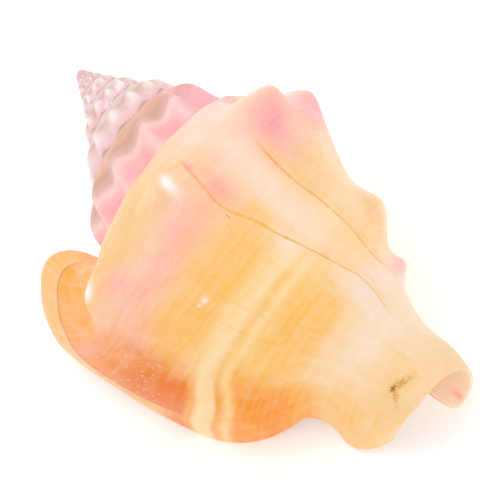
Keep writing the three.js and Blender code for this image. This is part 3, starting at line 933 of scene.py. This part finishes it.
# Painted shade: this row too darkens at both ends, at the sutures.
older = bands(ramp_place, [
    (0.00, paint(214, 176, 170)), (0.08, paint(234, 212, 208)), (0.30, paint(226, 202, 198)),
    (0.42, paint(218, 184, 170)), (0.58, paint(232, 206, 196)), (0.74, paint(240, 212, 212)),
    (0.92, paint(240, 196, 198)), (1.00, paint(206, 162, 160)),
])
spire = over(spire, older, smooth(turn + wander * 90.0, -430, -500))
on_knob = bell(nearest / 0.18) * bell((across - SPIRE_KNOB_AT) / 0.05)
spire = over(spire, paint(253, 238, 236), on_knob * smooth(turn, -430, -800) * 0.9)
between = bell((nearest.math("ABSOLUTE") - 0.5) / 0.22) * bell((across - 0.2) / 0.06)
between = between * smooth(turn, -500, -900) * smooth(cloud, -0.25, 0.2)
spire = over(spire, paint(238, 148, 156), between * 0.75)
near_tip = smooth(turn, -1500, -2300) * smooth(cloud, -0.1, 0.3)
spire = over(spire, paint(238, 156, 132), near_tip * 0.7)
milky = smooth(cloud + drift, 0.04, 0.22) * smooth(turn, -600, -900)
spire = over(spire, paint(252, 244, 246), milky * 0.75)
skin_colour = over(body, spire, smooth(turn, -246, -258))

# %% [markdown]
# ## The lip, the room and the canal
# The lip's last few millimetres are a smooth orange rim. Where the outer layer stops, a fine dark
# line is painted as the shade of the small step there. Inside, the shell is glossy and pale: peach
# behind the lip, rose deeper in.

# %% The lip, the room and the canal
rim_starts = (across - 0.3) * -12.0 + 95.0
rim = smooth(turn - rim_starts + wander * 2.0, 0.0, 1.0) * smooth(across, 0.03, 0.08)
rim = rim * smooth(across, 0.56, 0.5)
skin_colour = over(skin_colour, paint(250, 192, 118), rim * 0.85)
# Painted shade: a dark line along the small step where the outer layer stops.
rim_step_shade = bell((turn - rim_starts + wander * 2.0) / 0.55) * smooth(across, 0.04, 0.1)
rim_step_shade = rim_step_shade * smooth(across, 0.56, 0.5)
skin_colour = over(skin_colour, paint(206, 124, 58), rim_step_shade * 0.7)
room_colour = bands(smooth(turn, -120, 108), [
    (0.0, paint(248, 212, 202)), (0.6, paint(251, 216, 200)), (0.85, paint(250, 204, 160)),
    (1.0, paint(249, 190, 124))])
canal = smooth(across, 0.8, 0.95)
room_colour = over(room_colour, paint(252, 226, 208), canal)
canal_spot = bell((turn + 168.0) / 7.0) * bell((across - 0.985) / 0.012)
room_colour = over(room_colour, paint(246, 160, 156), canal_spot * 0.8)
whole = over(skin_colour, room_colour, smooth(side, 0.35, 0.8))

# %% [markdown]
# ## Fine lines, gloss and relief
# Last come the marks too small to model: fine growth lines and spiral streaks that tint the
# colour a little and roughen the light a little. The relief is a fraction of a millimetre. A
# worn shell is satin rather than glossy, and light travels a little way into it, so the finish
# has a soft subsurface glow. The canal's wall is so thin that daylight shines through it, which
# a little warm light on its inner side stands in for.

# %% Fine lines, gloss and relief
tone = nodes.nodes.new("ShaderNodeHueSaturation")
strong = streak * 0.3 + cloud * 0.35 + fine * 0.1 + 1.0
feed(nodes, strong.math("MAXIMUM", 0.7), tone.inputs["Saturation"])
feed(nodes, 1.0 - cloud * 0.06 - fine * 0.02, tone.inputs["Value"])
feed(nodes, whole, tone.inputs["Color"])
nodes.links.new(tone.outputs[0], shader.inputs["Base Color"])
feed(nodes, clamp(cloud * 0.25 + 0.34), shader.inputs["Roughness"])
shader.inputs["Specular IOR Level"].default_value = 0.3

edge_shade_and_canal_glow = smooth(side, 0.35, 0.8) * canal
feed(nodes, edge_shade_and_canal_glow * 0.5 + 0.12, shader.inputs["Subsurface Weight"])
shader.inputs["Subsurface Scale"].default_value = 0.004
shader.inputs["Subsurface Radius"].default_value = (1.0, 0.55, 0.35)
# Painted glow: a faint warm emission lights the canal's inside, which lies in the body's shade.
shader.inputs["Emission Color"].default_value = paint(255, 206, 184)
feed(nodes, edge_shade_and_canal_glow * 0.13, shader.inputs["Emission Strength"])

relief = fine * 0.2 + streak * 0.15 + cloud * 0.8 - lines * 0.12 - crack
bump = nodes.nodes.new("ShaderNodeBump")
bump.inputs["Strength"].default_value = 0.7
bump.inputs["Distance"].default_value = 0.0005
feed(nodes, relief + chips * scuffed * 1.2, bump.inputs["Height"])
nodes.links.new(bump.outputs[0], shader.inputs["Normal"])
print("the finish takes", len(nodes.nodes), "nodes")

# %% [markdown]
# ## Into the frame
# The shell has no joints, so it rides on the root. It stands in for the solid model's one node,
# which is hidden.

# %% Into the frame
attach(shell, "root")
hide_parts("shell")

# %% [markdown]
# ## Camera
# The view is described about the shell's own axis, like the shell itself: tilted a little from
# square on towards the canal, then spun so that the spire points up and to the left. A long
# lens from far away keeps the picture nearly free of perspective. The three directions of the
# view become the three columns of the camera's matrix.

# %% Camera
VIEW_TILT, VIEW_SPIN = 17.5, 44.0        # degrees
LENS = 420.0
VIEW_FIELD = 182.5                       # mm seen from side to side at the shell
LOOK_AT = (90.9, -1.7, 30.0)             # mm, about the shell's own axis


def laid(point):
    """A point or a direction of the shell's own axes, as it lies."""
    turn = Euler((math.radians(REST_TURNS[0]), math.radians(REST_TURNS[1]), 0.0))
    return turn.to_matrix() @ Vector(point)


tilt, spin = math.radians(VIEW_TILT), math.radians(VIEW_SPIN)
towards = laid((math.sin(tilt), 0.0, math.cos(tilt)))
along = laid((math.cos(tilt), 0.0, -math.sin(tilt)))
leftward = laid((0.0, -1.0, 0.0))
right = along * math.cos(spin) - leftward * math.sin(spin)
up = -(along * math.sin(spin) + leftward * math.cos(spin))
looked_at = along * LOOK_AT[0] - leftward * LOOK_AT[1] + towards * LOOK_AT[2]
aim = (looked_at + Vector(REST_PLACE)) * MM

camera_data = bpy.data.cameras.new("camera")
camera_data.lens = LENS
distance = VIEW_FIELD * MM / 2 / (camera_data.sensor_width / 2 / LENS)
camera = bpy.data.objects.new("camera", camera_data)
bpy.context.scene.collection.objects.link(camera)
facing = Matrix((right, up, towards)).transposed().to_4x4()
camera.matrix_world = Matrix.Translation(aim + towards * distance) @ facing
bpy.context.view_layer.update()
bpy.context.scene.camera = camera
print("the camera stands", round(distance, 3), "m away")

# %% [markdown]
# ## Floor and light
# The table is plain white and gives off a little light of its own, which keeps the shadow under
# the shell faint. A white world lights everything evenly, one large soft lamp stands high on
# the left and a weaker one low on the right. Large lamps close to a small thing give soft
# edges, and nothing is so bright that the pale paints lose their colour.

# %% Floor and light
bpy.ops.mesh.primitive_plane_add(size=6.0, location=(0.0, 0.0, -0.0005))
floor = bpy.context.object
floor.name = "floor"
white = bpy.data.materials.new("white table")
white.use_nodes = True
surface = white.node_tree.nodes["Principled BSDF"].inputs
surface["Base Color"].default_value = (0.85, 0.85, 0.85, 1.0)
surface["Roughness"].default_value = 0.9
surface["Emission Color"].default_value = (1.0, 1.0, 1.0, 1.0)
surface["Emission Strength"].default_value = 0.35
floor.data.materials.append(white)

world = bpy.data.worlds.new("studio")
world.use_nodes = True
world.node_tree.nodes["Background"].inputs[0].default_value = (1.0, 1.0, 1.0, 1.0)
world.node_tree.nodes["Background"].inputs[1].default_value = 0.8
bpy.context.scene.world = world


def soft_light(name, direction, size, power):
    data = bpy.data.lights.new(name, "AREA")
    data.size = size
    data.energy = power
    light = bpy.data.objects.new(name, data)
    light.location = Vector(direction).normalized() * 0.9
    light.rotation_euler = Vector(direction).to_track_quat("Z", "Y").to_euler()
    bpy.context.scene.collection.objects.link(light)


soft_light("fill", right * 0.8 - up * 0.2 + towards * 0.75, 0.5, 0.65)
soft_light("key", right * -0.6 + up * 0.7 + towards * 0.8, 0.5, 2.1)
bpy.context.scene.view_settings.view_transform = "Standard"

# %% [markdown]
# ## Finish
# The shell was grown from the same sizes as the solid model, so the two boxes should agree.

# %% Finish
bpy.context.view_layer.update()
